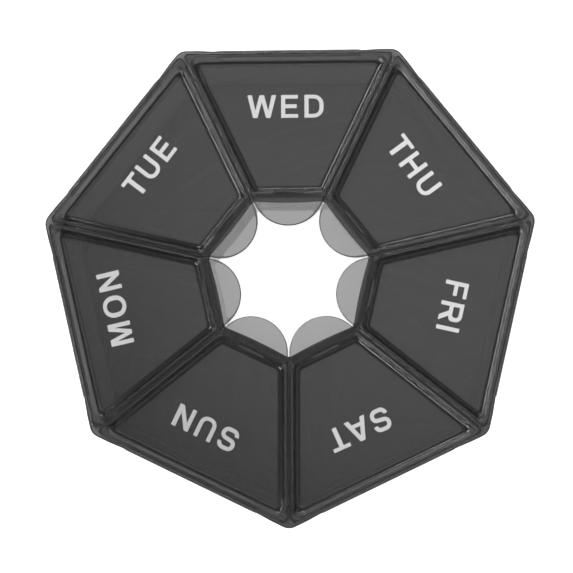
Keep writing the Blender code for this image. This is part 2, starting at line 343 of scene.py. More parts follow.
def add_loft(mesh, levels):
    """Add a closed body: one ring extruded level by level through (height, outline) pairs of equal count."""
    height, outline = levels[0]
    ring = [mesh.verts.new((point.x, point.y, height)) for point in outline]
    edges = [mesh.edges.new((ring[index - 1], ring[index])) for index in range(len(ring))]
    bmesh.ops.contextual_create(mesh, geom=edges)
    for height, outline in levels[1:]:
        swept = bmesh.ops.extrude_edge_only(mesh, edges=edges)["geom"]
        added = {item for item in swept if isinstance(item, bmesh.types.BMVert)}
        below = set(ring)
        above = {edge.other_vert(vert): vert for vert in added for edge in vert.link_edges
                 if edge.other_vert(vert) in below}
        ring = [above[vert] for vert in ring]
        for vert, point in zip(ring, outline):
            vert.co = (point.x, point.y, height)
        edges = [item for item in swept
                 if isinstance(item, bmesh.types.BMEdge) and added.issuperset(item.verts)]
    bmesh.ops.contextual_create(mesh, geom=edges)


def new_piece(name, mesh, place=None):
    """Turn a bmesh into an object at the origin, its faces pointing out and its place in its mesh."""
    bmesh.ops.remove_doubles(mesh, verts=mesh.verts, dist=MERGE_DISTANCE)
    bmesh.ops.recalc_face_normals(mesh, faces=mesh.faces)
    if place is not None:
        bmesh.ops.transform(mesh, matrix=place, verts=mesh.verts)
    data = bpy.data.meshes.new(name)
    mesh.to_mesh(data)
    mesh.free()
    piece = bpy.data.objects.new(name, data)
    bpy.context.scene.collection.objects.link(piece)
    return piece


def settle(piece):
    """Make a piece's modifiers real."""
    bpy.context.view_layer.update()
    finished = bpy.data.meshes.new_from_object(piece.evaluated_get(bpy.context.evaluated_depsgraph_get()))
    piece.modifiers.clear()
    piece.data = finished


def combine(piece, tool, operation):
    """Join a tool to a piece, or cut it out, and drop the tool."""
    modifier = piece.modifiers.new(tool.name, "BOOLEAN")
    modifier.operation = operation
    modifier.solver = "EXACT"
    modifier.object = tool
    settle(piece)
    bpy.data.objects.remove(tool, do_unlink=True)


def shade(piece, material):
    """Smooth the round faces, keep the flat ones flat, and give the piece its finish."""
    piece.data.shade_smooth()
    piece.data.set_sharp_from_angle(angle=SMOOTH_ANGLE)
    modifier = piece.modifiers.new("even_normals", "WEIGHTED_NORMAL")
    modifier.keep_sharp = True
    modifier.weight = NORMAL_WEIGHT
    settle(piece)
    piece.data.materials.clear()
    piece.data.materials.append(material)


def node(tree, kind, **inputs):
    """Add a shader node and set or link its inputs by name or number."""
    made = tree.nodes.new(kind)
    for key, value in inputs.items():
        socket = made.inputs[int(key[1:])] if key[0] == "_" else made.inputs[key.replace("_", " ")]
        if isinstance(value, bpy.types.NodeSocket):
            tree.links.new(value, socket)
        else:
            socket.default_value = value
    return made


def maths(tree, operation, first, second=0.0, third=0.0):
    """Output of a Math node."""
    made = node(tree, "ShaderNodeMath", _0=first, _1=second, _2=third)
    made.operation = operation
    return made.outputs[0]


def remap(tree, value, low, high, to_low, to_high, smooth=False):
    """Output of a Map Range node."""
    made = node(tree, "ShaderNodeMapRange", Value=value, From_Min=low, From_Max=high, To_Min=to_low,
                To_Max=to_high)
    made.interpolation_type = "SMOOTHSTEP" if smooth else "LINEAR"
    return made.outputs["Result"]


def new_material(name):
    """A material with an empty node tree, and the tree."""
    material = bpy.data.materials.new(name)
    material.use_nodes = True
    material.node_tree.nodes.clear()
    return material, material.node_tree


def blended(tree, share, low, colour):
    """Output of a Mix node from one colour to another."""
    made = node(tree, "ShaderNodeMix", _0=share, _6=low, _7=(*colour, 1.0))
    made.data_type = "RGBA"
    return made.outputs[2]


def noise(tree, place, size, detail=2.0, roughness=0.5):
    """Noise whose features are about this long, in metres."""
    made = node(tree, "ShaderNodeTexNoise", Vector=place, Scale=1 / size, Detail=detail, Roughness=roughness)
    return made.outputs["Fac"]


def smoke_plastic(name, offset, painted_shade_factor=1.0):
    """See-through smoke-grey polypropylene with faint mould ripple and handling marks."""
    look = bpy.context.scene.pill_case_plastic
    material, tree = new_material(name)
    spot = node(tree, "ShaderNodeTexCoord").outputs["Object"]
    place = node(tree, "ShaderNodeMapping", Vector=spot, Location=offset).outputs[0]
    patches = noise(tree, place, SMUDGE_SIZE, detail=4.0, roughness=0.6)
    grain = noise(tree, place, GRAIN_SIZE, detail=3.0)
    smudged = look.roughness + look.smudge
    haze = remap(tree, patches, *SMUDGE_RANGE, look.roughness, smudged, smooth=True)
    uneven = remap(tree, grain, *NOISE_MIDDLE, -GRAIN_ROUGHNESS, GRAIN_ROUGHNESS)
    rough = maths(tree, "ADD", haze, uneven)
    flow = noise(tree, place, FLOW_SIZE, detail=1.0)
    tone = remap(tree, flow, *NOISE_MIDDLE, *FLOW_TONE)
    tint = blended(tree, tone, BLACK, look.colour)
    waves = node(tree, "ShaderNodeBump", Strength=look.ripple, Distance=WAVE_HEIGHT, Height=flow)
    peel = node(tree, "ShaderNodeBump", Strength=look.ripple, Distance=PEEL_HEIGHT,
                Height=noise(tree, place, PEEL_SIZE, detail=2.0), Normal=waves.outputs[0])
    shader = node(tree, "ShaderNodeBsdfPrincipled", Base_Color=tint, Roughness=rough, IOR=PLASTIC_IOR,
                  Transmission_Weight=1.0 - look.haze, Normal=peel.outputs[0])
    # The last argument multiplies the density: painted shade, used only for the film hinges
    depth = node(tree, "ShaderNodeVolumeAbsorption", Color=(*look.smoke, 1.0), Density=look.density * painted_shade_factor)
    output = node(tree, "ShaderNodeOutputMaterial", Surface=shader.outputs[0], Volume=depth.outputs[0])
    output.is_active_output = True
    return material


def printed_ink(name, left):
    """Pale pad-printed ink, a little uneven, of which wear has left a share."""
    look = bpy.context.scene.pill_case_letters
    material, tree = new_material(name)
    place = node(tree, "ShaderNodeTexCoord").outputs["Object"]
    cloud = noise(tree, place, CLOUD_SIZE, detail=4.0, roughness=0.6)
    specks = noise(tree, place, SPECK_SIZE, detail=2.0)
    worn = 1.0 - left
    even = remap(tree, cloud, *NOISE_MIDDLE, left - CLOUD_LOSS, left)
    pitted = remap(tree, specks, *SPECK_RANGE, 0.93 - 0.5 * worn, 1.0 + 0.1 * worn)
    tone = maths(tree, "MULTIPLY", even, pitted)
    tint = blended(tree, tone, BARE_PANEL, look.colour)
    bump = node(tree, "ShaderNodeBump", Strength=0.15, Distance=INK_HEIGHT, Height=specks)
    rough = remap(tree, cloud, *NOISE_MIDDLE, *INK_ROUGHNESS)
    shader = node(tree, "ShaderNodeBsdfPrincipled", Base_Color=tint, Roughness=rough,
                  Normal=bump.outputs[0])
    node(tree, "ShaderNodeOutputMaterial", Surface=shader.outputs[0])
    return material


def case_plan(side, ear, corner, inset=0.0):
    """The case's plan, set in by a length: side is its apothem along the hinges, ear at the corners."""
    sizes = bpy.context.scene.pill_case_tray
    rim_ear = FOLD_APOTHEM + sizes.ear_reach
    slot = FILM_HALF + sizes.slot_gap
    shoulder = max(side, min(ear, FOLD_APOTHEM)) - inset
    straight = (ear - corner) / (rim_ear - sizes.rim_corner)
    places = ((slot + sizes.ear_taper, ear - inset), (slot + sizes.edge + inset, shoulder),
              (slot + inset, shoulder - inset * SHOULDER_SHARE), (slot + inset, side - inset))
    corners = []
    for index in range(SIDES):
        turn = -2 * HALF_TURN * index
        half = [(along * straight, out) for along, out in places]
        for along, out in [(-along, out) for along, out in half] + half[::-1]:
            corners.append((turned((along, out), turn), 0))
        tip = turned((0, (ear - inset) / math.cos(HALF_TURN)), turn - HALF_TURN)
        corners.append((tip, corner - inset))
    return rounded(corners)


def wedge_plan(outer, inner, side, corner, inset=0.0, between=0):
    """A sector's plan between two apothems with four round corners, set in by a length."""
    slope = math.tan(HALF_TURN)
    shift = (side + inset) / math.cos(HALF_TURN)
    wide = (outer - inset) * slope - shift
    narrow = (inner + inset) * slope - shift
    far, near = outer - inset, inner + inset
    corners = ((-wide, far), (wide, far), (narrow, near), (-narrow, near))
    outline = rounded([(point, corner - inset) for point in corners])
    split = 3 * (ARC_STEPS + 1)
    return outline[:split] + spaced(outline[split - 1], outline[split], between) + outline[split:]


def opening_plan(apothem):
    """The central opening's plan, in line with the case, each side bowed a little towards the middle."""
    sizes = bpy.context.scene.pill_case_tray
    half = apothem * math.tan(HALF_TURN)
    corners = []
    for index in range(SIDES):
        for step in range(-BOW_STEPS, BOW_STEPS):
            share = step / BOW_STEPS
            spot = (half * share, apothem - sizes.bow * (1 - share * share))
            radius = sizes.opening_corner if step == -BOW_STEPS else 0
            corners.append((turned(spot, -2 * HALF_TURN * index), radius))
    return rounded(corners)


def tray_body(sizes):
    """The tray's outside from the base to the rim: round foot, drafted wall, flare and rim with ears."""
    body = LID_EDGE - sizes.overhang
    foot = body - sizes.draft
    ear = FOLD_APOTHEM + sizes.ear_reach
    flare = TRAY_TOP - sizes.rim - sizes.overhang
    waist = case_plan(body, body, sizes.body_corner)
    rim = case_plan(LID_EDGE, ear, sizes.rim_corner)
    levels = []
    for sine, cosine in quarter(ARC_STEPS):
        inset = sizes.base_round * (1 - sine)
        levels.append((sizes.base_round * (1 - cosine), case_plan(foot, foot, sizes.body_corner, inset)))
    first, last = FLARE_STRAIGHT
    flare_top = flare + sizes.overhang
    profile = eased((0, flare - FLARE_START), (0, flare), (first, flare + first * sizes.overhang), 5)
    profile += eased((last, flare + last * sizes.overhang), (1, flare_top), (1, flare_top + FLARE_END), 4)
    for out, height in profile:
        levels.append((height, [low.lerp(high, out) for low, high in zip(waist, rim)]))
    for sine, cosine in quarter(EDGE_STEPS):
        outline = case_plan(LID_EDGE, ear, sizes.rim_corner, sizes.edge * (1 - cosine))
        levels.append((TRAY_TOP - sizes.edge * (1 - sine), outline))
    return levels


def pocket(sizes):
    """A compartment's hollow from its round floor to its flared mouth."""
    back = sizes.opening + sizes.opening_wall
    neck = LID_EDGE - sizes.overhang - sizes.wall
    mouth = LID_EDGE - sizes.land
    flare = TRAY_TOP - (mouth - neck)
    top = sizes.divider_top / 2
    levels = []
    for sine, cosine in quarter(ARC_STEPS):
        outline = wedge_plan(neck - sizes.draft, back + OPENING_DRAFT, sizes.divider_base / 2,
                             sizes.pocket_corner, sizes.floor_round * (1 - sine))
        levels.append((sizes.floor + sizes.floor_round * (1 - cosine), outline))
    start, end = (neck, flare - NECK_EASE), (neck + NECK_EASE, flare + NECK_EASE)
    for outer, height in eased(start, (neck, flare), end, 4):
        levels.append((height, wedge_plan(outer, back, top, sizes.pocket_corner)))
    for sine, cosine in quarter(EDGE_STEPS + 2):
        wider = sizes.edge * (1 - cosine)
        thinner = sizes.divider_round * (1 - cosine)
        outline = wedge_plan(mouth + wider, back - wider, top - thinner, sizes.pocket_corner)
        levels.append((TRAY_TOP - sizes.divider_round * (1 - sine), outline))
    levels.append((TRAY_TOP + OVERRUN, levels[-1][1]))
    return levels


def opening(sizes):
    """The central opening from below the base to above the rim, its two edges rounded."""
    radius = sizes.opening_foot
    wide = sizes.opening + OPENING_DRAFT
    levels = [(-OVERRUN, opening_plan(wide + radius))]
    levels += [(radius * (1 - cosine), opening_plan(wide + radius * (1 - sine)))
               for sine, cosine in quarter(EDGE_STEPS + 1)]
    radius = sizes.opening_edge
    levels += [(TRAY_TOP - radius * (1 - sine), opening_plan(sizes.opening + radius * (1 - cosine)))
               for sine, cosine in quarter(EDGE_STEPS + 1)]
    levels.append((TRAY_TOP + OVERRUN, levels[-1][1]))
    return levels


def lid_plan(sizes, inset):
    """A lid's plan from its hinge corners round the thumb tab, which both side edges run into."""
    side = sizes.gap / 2 + inset
    outer = LID_EDGE + sizes.lip - inset
    wide = outer * math.tan(HALF_TURN) - side / math.cos(HALF_TURN)
    middle = (TAB_TIP - sizes.gap / 2) / (1 - math.sin(HALF_TURN))
    radius = middle * math.sin(HALF_TURN) - side
    foot = Vector((radius * math.cos(HALF_TURN), middle - radius * math.sin(HALF_TURN)))
    corner = sizes.corner - inset
    corners = (((-foot.x, foot.y), 0), ((-wide, outer), corner), ((wide, outer), corner), (foot, 0))
    outline = rounded(corners)[1:-1]
    sweep = math.pi - 2 * HALF_TURN
    spare = inset * (1 - sizes.edge_tab / sizes.edge_top)
    for point in range(TAB_POINTS):
        share = point / (TAB_POINTS - 1)
        angle = -HALF_TURN - sweep * share
        reach = radius + spare * math.sin(math.pi * share)
        outline.append(Vector((reach * math.cos(angle), middle + reach * math.sin(angle))))
    return outline


def pan_plan(sizes, inset):
    """The pan's plan, set in by a length from the line where it leaves the flange."""
    tray = bpy.context.scene.pill_case_tray
    back = tray.opening + tray.opening_wall
    corner = sizes.pan_corner + (sizes.panel_corner - sizes.pan_corner) * inset / sizes.under_slope
    outer, inner = LID_EDGE - sizes.hinge_land - inset, back + sizes.latch_land + inset
    side = sizes.gap / 2 + sizes.side_land + inset
    return wedge_plan(outer, inner, side, corner, between=TAB_POINTS - 2 * (ARC_STEPS + 1))


def bend(inset, height, radius, angle, steps=EDGE_STEPS):
    """(inset, height) pairs round a bend from level to sloping down by an angle, about a sharp corner."""
    start = inset - radius * math.tan(angle / 2)
    turns = [angle * step / steps for step in range(steps + 1)]
    return [(start + radius * math.sin(turn), height - radius * (1 - math.cos(turn))) for turn in turns]


def lid_shell(sizes):
    """A lid's closed skin as (height, outline) pairs, from the top of the panel round to its underside."""
    angle = math.atan2(sizes.depth, sizes.slope)
    panel = LID_TOP - sizes.depth
    foot = [(2 * sizes.slope - inset, 2 * panel - height)
            for inset, height in bend(sizes.slope, panel, sizes.foot, angle, ARC_STEPS)]
    top = foot + bend(0, LID_TOP, sizes.brow, angle)[::-1]
    angle = math.atan2(sizes.depth, sizes.under_slope)
    shift = sizes.wall * math.tan(angle / 2)
    low = LID_TOP - sizes.wall
    under = bend(-shift, low, sizes.brow, angle)
    edge = sizes.under_slope - shift
    bottom = [(2 * edge - inset, 2 * (panel - sizes.wall) - height)
              for inset, height in bend(edge, panel - sizes.wall, sizes.under_foot, angle)][::-1]
    levels = [(height, pan_plan(sizes, inset)) for inset, height in top]
    for sine, cosine in quarter(EDGE_STEPS):
        outline = lid_plan(sizes, sizes.edge_top * (1 - sine))
        levels.append((LID_TOP - sizes.edge_fall * (1 - cosine), outline))
    for sine, cosine in quarter(EDGE_STEPS):
        outline = lid_plan(sizes, sizes.edge_bottom * (1 - cosine))
        levels.append((low + sizes.edge_bottom * (1 - sine), outline))
    levels += [(height, pan_plan(sizes, inset)) for inset, height in under + bottom]
    return levels


def dip_latch(mesh, sizes):
    """Let the top of the flange fall from the tab towards the pan, over the opening's wall."""
    tray = bpy.context.scene.pill_case_tray
    tab, low = tray.opening, tray.opening + tray.opening_wall + sizes.latch_land
    for out in (tab, (tab + low) / 2, low, low + DIP_FADE / 2, low + DIP_FADE):
        everything = mesh.verts[:] + mesh.edges[:] + mesh.faces[:]
        bmesh.ops.bisect_plane(mesh, geom=everything, plane_co=(0, out, 0), plane_no=(0, 1, 0))
    for vert in mesh.verts:
        out = vert.co.y
        share = (out - tab) / (low - tab) if out < low else 1 - (out - low) / DIP_FADE
        lift = (vert.co.z - LID_TOP + DIP_LOW) / DIP_RISE
        vert.co.z -= sizes.dip * min(max(share, 0), 1) * min(max(lift, 0), 1)


def latch_rib(sizes):
    """The latch rib under the flange, rounded along its lower edges."""
    tray = bpy.context.scene.pill_case_tray
    front = tray.opening + tray.opening_wall + sizes.seat
    low = LID_TOP - sizes.wall - sizes.rib_drop
    levels = []
    for sine, cosine in quarter(EDGE_STEPS):
        inset = RIB_ROUND * (1 - sine)
        half = sizes.rib_width / 2 - inset
        near, far = front + inset, front + sizes.rib - inset
        corners = ((-half, far), (half, far), (half, near), (-half, near))
        outline = rounded([(corner, RIB_CORNER - inset) for corner in corners], EDGE_STEPS)
        levels.append((low + RIB_ROUND * (1 - cosine), outline))
    levels.append((LID_TOP - sizes.wall / 2, levels[-1][1]))
    return levels


def film_section(sizes):
    """A film hinge's section as (out, up) points from the fold line, thicker where it joins the mouldings."""
    fold, bulge, root, embed = sizes.fold, sizes.bulge, sizes.root, sizes.embed
    inner = fold - sizes.thickness
    steps = 2 * ARC_STEPS
    arc = [math.pi * step / steps - math.pi / 2 for step in range(steps + 1)]
    section = [((fold + bulge) * math.cos(angle) - fold, fold * math.sin(angle)) for angle in arc]
    lid = LID_EDGE + bpy.context.scene.pill_case_lids.lip - FOLD_APOTHEM
    section += [(lid + root, fold), (lid, fold + root), (lid - embed, fold + root), (lid - embed, inner)]
    section += [((inner + bulge) * math.cos(angle) - fold, inner * math.sin(angle)) for angle in arc[::-1]]
    rim = LID_EDGE - FOLD_APOTHEM
    section += [(rim - embed, -inner), (rim - embed, -fold - root), (rim, -fold - root), (rim + root, -fold)]
    return [Vector(point) for point in section]


# Letters of a plain bold sans, one cap height tall: (width, left space, right space, outer outline, holes)
STEM = 0.179  # width of an upright stroke
BAR = 0.160  # height of a level stroke
SQUARE = 0.139  # space beside an upright stroke
ROUND = 0.115  # space beside a round stroke


def box_letter(*points):
    """Outline with square corners."""
    return [(point, 0) for point in points]


LETTERS = {
    "W": (1.26, 0.075, 0.075, box_letter((0.25, 0), (0.44, 0), (0.63, 0.70), (0.82, 0), (1.01, 0),
          (1.26, 1), (1.06, 1), (0.912, 0.32), (0.73, 1), (0.53, 1), (0.348, 0.32), (0.20, 1), (0, 1)), []),
    "E": (0.74, SQUARE, SQUARE, box_letter((0, 0), (0.74, 0), (0.74, BAR), (STEM, BAR), (STEM, 0.42),
          (0.68, 0.42), (0.68, 0.59), (STEM, 0.59), (STEM, 1 - BAR), (0.73, 1 - BAR), (0.73, 1), (0, 1)),
          []),
    "D": (0.83, SQUARE, ROUND, [((0, 0), 0), ((0.83, 0), 0.42), ((0.83, 1), 0.42), ((0, 1), 0)],
          [[((STEM, BAR), 0), ((STEM, 1 - BAR), 0), ((0.83 - STEM, 1 - BAR), 0.25),
          ((0.83 - STEM, BAR), 0.25)]]),
    "T": (0.79, 0.037, 0.037, box_letter((0.295, 0), (0.495, 0), (0.495, 1 - BAR), (0.79, 1 - BAR),
          (0.79, 1), (0, 1), (0, 1 - BAR), (0.295, 1 - BAR)), []),
    "H": (0.80, SQUARE, SQUARE, box_letter((0, 0), (STEM, 0), (STEM, 0.42), (0.80 - STEM, 0.42),
          (0.80 - STEM, 0), (0.80, 0), (0.80, 1), (0.80 - STEM, 1), (0.80 - STEM, 0.60), (STEM, 0.60),
          (STEM, 1), (0, 1)), []),
    "U": (0.78, SQUARE, SQUARE, [((0, 0), 0.36), ((0.78, 0), 0.36), ((0.78, 1), 0), ((0.78 - STEM, 1), 0),
          ((0.78 - STEM, 0.17), 0.18), ((STEM, 0.17), 0.18), ((STEM, 1), 0), ((0, 1), 0)], []),
    "F": (0.68, SQUARE, 0.093, box_letter((0, 0), (STEM, 0), (STEM, 0.40), (0.62, 0.40), (0.62, 0.57),
          (STEM, 0.57), (STEM, 1 - BAR), (0.68, 1 - BAR), (0.68, 1), (0, 1)), []),
    "R": (0.86, SQUARE, 0.065, [((0, 0), 0), ((STEM, 0), 0), ((STEM, 0.39), 0), ((0.38, 0.39), 0),
          ((0.62, 0), 0), ((0.86, 0), 0), ((0.60, 0.41), 0), ((0.82, 0.44), 0.18), ((0.82, 1), 0.27),
          ((0, 1), 0)], [[((STEM, 0.56), 0), ((STEM, 1 - BAR), 0), ((0.82 - STEM, 1 - BAR), 0.12),
          ((0.82 - STEM, 0.56), 0.12)]]),
    "I": (STEM, SQUARE, SQUARE, box_letter((0, 0), (STEM, 0), (STEM, 1), (0, 1)), []),
    "A": (0.96, 0.037, 0.037, box_letter((0, 0), (0.215, 0), (0.285, 0.215), (0.675, 0.215), (0.745, 0),
          (0.96, 0), (0.59, 1), (0.37, 1)), [box_letter((0.34, 0.38), (0.48, 0.76), (0.62, 0.38))]),
    "N": (0.79, SQUARE, SQUARE, box_letter((0, 0), (STEM, 0), (STEM, 0.66), (0.59, 0), (0.79, 0), (0.79, 1),
          (0.59, 1), (0.59, 0.34), (STEM, 1), (0, 1)), []),
    "M": (0.96, SQUARE, SQUARE, box_letter((0, 0), (0.185, 0), (0.185, 0.72), (0.39, 0), (0.57, 0),
          (0.775, 0.72), (0.775, 0), (0.96, 0), (0.96, 1), (0.68, 1), (0.48, 0.30), (0.28, 1), (0, 1)), []),
    "O": (0.95, ROUND, ROUND, [((0, -0.01), 0.46), ((0.95, -0.01), 0.46), ((0.95, 1.01), 0.46),
          ((0, 1.01), 0.46)], [[((0.205, BAR), 0.26), ((0.205, 1 - BAR), 0.26), ((0.745, 1 - BAR), 0.26),
          ((0.745, BAR), 0.26)]]),
}
S_WIDTH = 0.79
S_SPACE = 0.13
S_WEIGHT = 0.178
S_SPINE = [((0.70, 0.70), 0), ((0.70, 0.915), 0.20), ((0.10, 0.915), 0.20), ((0.10, 0.545), 0.17),
           ((0.69, 0.465), 0.18), ((0.69, 0.085), 0.21), ((0.09, 0.085), 0.21), ((0.09, 0.31), 0)]

# Printed words: (text, its middle across the lid and out from the case's middle, turn in degrees,
# share of ink left)
WORDS = {
    "wed": ("WED", -0.00069, 0.03892, 0.0, 0.89),
    "thu": ("THU", -0.00168, 0.03797, -2.5, 1.00),
    "fri": ("FRI", -0.00127, 0.03786, 0.0, 0.94),
    "sat": ("SAT", 0.00082, 0.03847, -1.7, 0.79),
    "sun": ("SUN", 0.00194, 0.03948, 0.0, 0.62),
    "mon": ("MON", 0.00169, 0.04044, 0.0, 0.76),
    "tue": ("TUE", -0.00035, 0.04073, 1.0, 0.90),
}


def stroke_outline(spine, weight):
    """Outline of a stroke drawn along an open line of points, with square ends."""
    sides = ([], [])
    for index, point in enumerate(spine):
        ahead = spine[min(index + 1, len(spine) - 1)] - spine[max(index - 1, 0)]
        across = Vector((-ahead.y, ahead.x)).normalized() * weight / 2
        sides[0].append(point + across)
        sides[1].append(point - across)
    return sides[0] + sides[1][::-1]


def letter_outlines(letter):
    """A letter's width, its space on the left and right, and its outlines."""
    if letter == "S":
        return S_WIDTH, S_SPACE, S_SPACE, [stroke_outline(rounded(S_SPINE, LETTER_STEPS), S_WEIGHT)]
    width, left, right, outer, holes = LETTERS[letter]
    return width, left, right, [rounded(outline, LETTER_STEPS) for outline in [outer] + holes]


def printed_word(name, text, sizes):
    """One word as a mesh: flat outlines given the ink's thickness, centred on the origin."""
    curve = bpy.data.curves.new(name, "CURVE")
    curve.dimensions = "2D"
    curve.fill_mode = "BOTH"
    outlines = []
    reach = 0.0
    for index, letter in enumerate(text):
        width, left, right, shapes = letter_outlines(letter)
        reach += left if index else 0.0
        outlines += [[point + Vector((reach, 0)) for point in shape] for shape in shapes]
        reach += width + (right if index < len(text) - 1 else 0.0)
    for shape in outlines:
        spline = curve.splines.new("POLY")
        spline.points.add(len(shape) - 1)
        for target, point in zip(spline.points, shape):
            target.co = ((point.x - reach / 2) * sizes.cap, (point.y - 0.5) * sizes.cap, 0, 1)
        spline.use_cyclic_u = True
    curve.extrude = sizes.ink
    flat = bpy.data.objects.new(name, curve)
    bpy.context.scene.collection.objects.link(flat)
    bpy.context.view_layer.update()
    data = bpy.data.meshes.new_from_object(flat.evaluated_get(bpy.context.evaluated_depsgraph_get()))
    bpy.data.objects.remove(flat, do_unlink=True)
    mesh = bmesh.new()
    mesh.from_mesh(data)
    bpy.data.meshes.remove(data)
    return mesh


class PILLCASE_OT_tray(Operator):
    """Model the tray with its seven compartments and central opening"""
    bl_idname = "pill_case.tray"
    bl_label = "Tray"

    def execute(self, context):
        sizes = context.scene.pill_case_tray
        middle = Matrix.Translation((CENTRE.x, CENTRE.y, 0))
        body = bmesh.new()
        add_loft(body, tray_body(sizes))
        tray = new_piece("smoke_tray", body, middle)
        hollows = bmesh.new()
        for day in FOLDS:
            before = set(hollows.verts)
            add_loft(hollows, pocket(sizes))
            added = [vert for vert in hollows.verts if vert not in before]
            turn = Matrix.Rotation(lid_turn(day), 3, "Z")
            bmesh.ops.rotate(hollows, cent=(0, 0, 0), matrix=turn, verts=added)
        add_loft(hollows, opening(sizes))
        combine(tray, new_piece("hollows", hollows, middle), "DIFFERENCE")
        if len(tray.data.polygons) < FEWEST_TRAY_FACES:
            raise RuntimeError("the compartments didn't cut the tray")
        shade(tray, smoke_plastic("smoke_tray", (0.0, 0.0, 0.0)))
        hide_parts("tray")
        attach(tray, "tray")
        return {"FINISHED"}


class PILLCASE_OT_lids(Operator):
    """Model one flip lid with its thumb tab and latch rib, and set it in all seven places"""
    bl_idname = "pill_case.lids"
    bl_label = "Lids"

    def execute(self, context):
        sizes = context.scene.pill_case_lids
        shell = bmesh.new()
        add_loft(shell, lid_shell(sizes))
        dip_latch(shell, sizes)
        master = new_piece("lid_master", shell)
        rib = bmesh.new()
        add_loft(rib, latch_rib(sizes))
        combine(master, new_piece("rib", rib), "UNION")
        for index, day in enumerate(FOLDS):
            copy = bmesh.new()
            copy.from_mesh(master.data)
            lid = new_piece("smoke_lid_" + day, copy, lid_place(day))
            shade(lid, smoke_plastic("smoke_lid_" + day, (0.11 * index, 0.07 * index, 0.05)))
            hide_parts("lid_" + day)
            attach(lid, "lid_" + day)
        bpy.data.objects.remove(master, do_unlink=True)
        return {"FINISHED"}


class PILLCASE_OT_film_hinges(Operator):
    """Model the seven film hinges that join the lids to the rim"""
    bl_idname = "pill_case.film_hinges"
    bl_label = "Film Hinges"

    def execute(self, context):
        sizes = context.scene.pill_case_film
        for day in FOLDS:
            mesh = bmesh.new()
            ring = [mesh.verts.new((-FILM_HALF, point.x + FOLD_APOTHEM, point.y + FOLD_HEIGHT))
                    for point in film_section(sizes)]
            face = mesh.faces.new(ring)
            for step in range(FILM_STEPS):
                swept = bmesh.ops.extrude_face_region(mesh, geom=[face])["geom"]
                face = next(item for item in swept if isinstance(item, bmesh.types.BMFace))
                bmesh.ops.translate(mesh, verts=face.verts, vec=(2 * FILM_HALF / FILM_STEPS, 0, 0))
            film = new_piece("smoke_film_" + day, mesh, lid_place(day))
            # The film's plastic is made denser as painted shade for the shadowed floor under it
            shade(film, smoke_plastic("smoke_film_" + day, (0.3, 0.1, 0.0), sizes.painted_shade_factor))
            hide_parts("hinge_" + day)
            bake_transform(film)
        return {"FINISHED"}


class PILLCASE_OT_weekdays(Operator):
    """Print the weekday on the panel of each lid"""
    bl_idname = "pill_case.weekdays"
    bl_label = "Weekdays"

    def execute(self, context):
        sizes = context.scene.pill_case_letters
        panel = LID_TOP - context.scene.pill_case_lids.depth
        for day, (text, across, out, tilt, left) in WORDS.items():
            mesh = printed_word("word_" + day, text, sizes)
            spot = Matrix.Translation((across, out, panel + sizes.ink / 2))
            tilted = Matrix.Rotation(math.radians(tilt), 4, "Z")
            word = new_piece("weekday_" + day, mesh, lid_place(day) @ spot @ tilted)
            word.data.materials.clear()
            word.data.materials.append(printed_ink("pale_ink_" + day, left))
            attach(word, "lid_" + day)
        return {"FINISHED"}


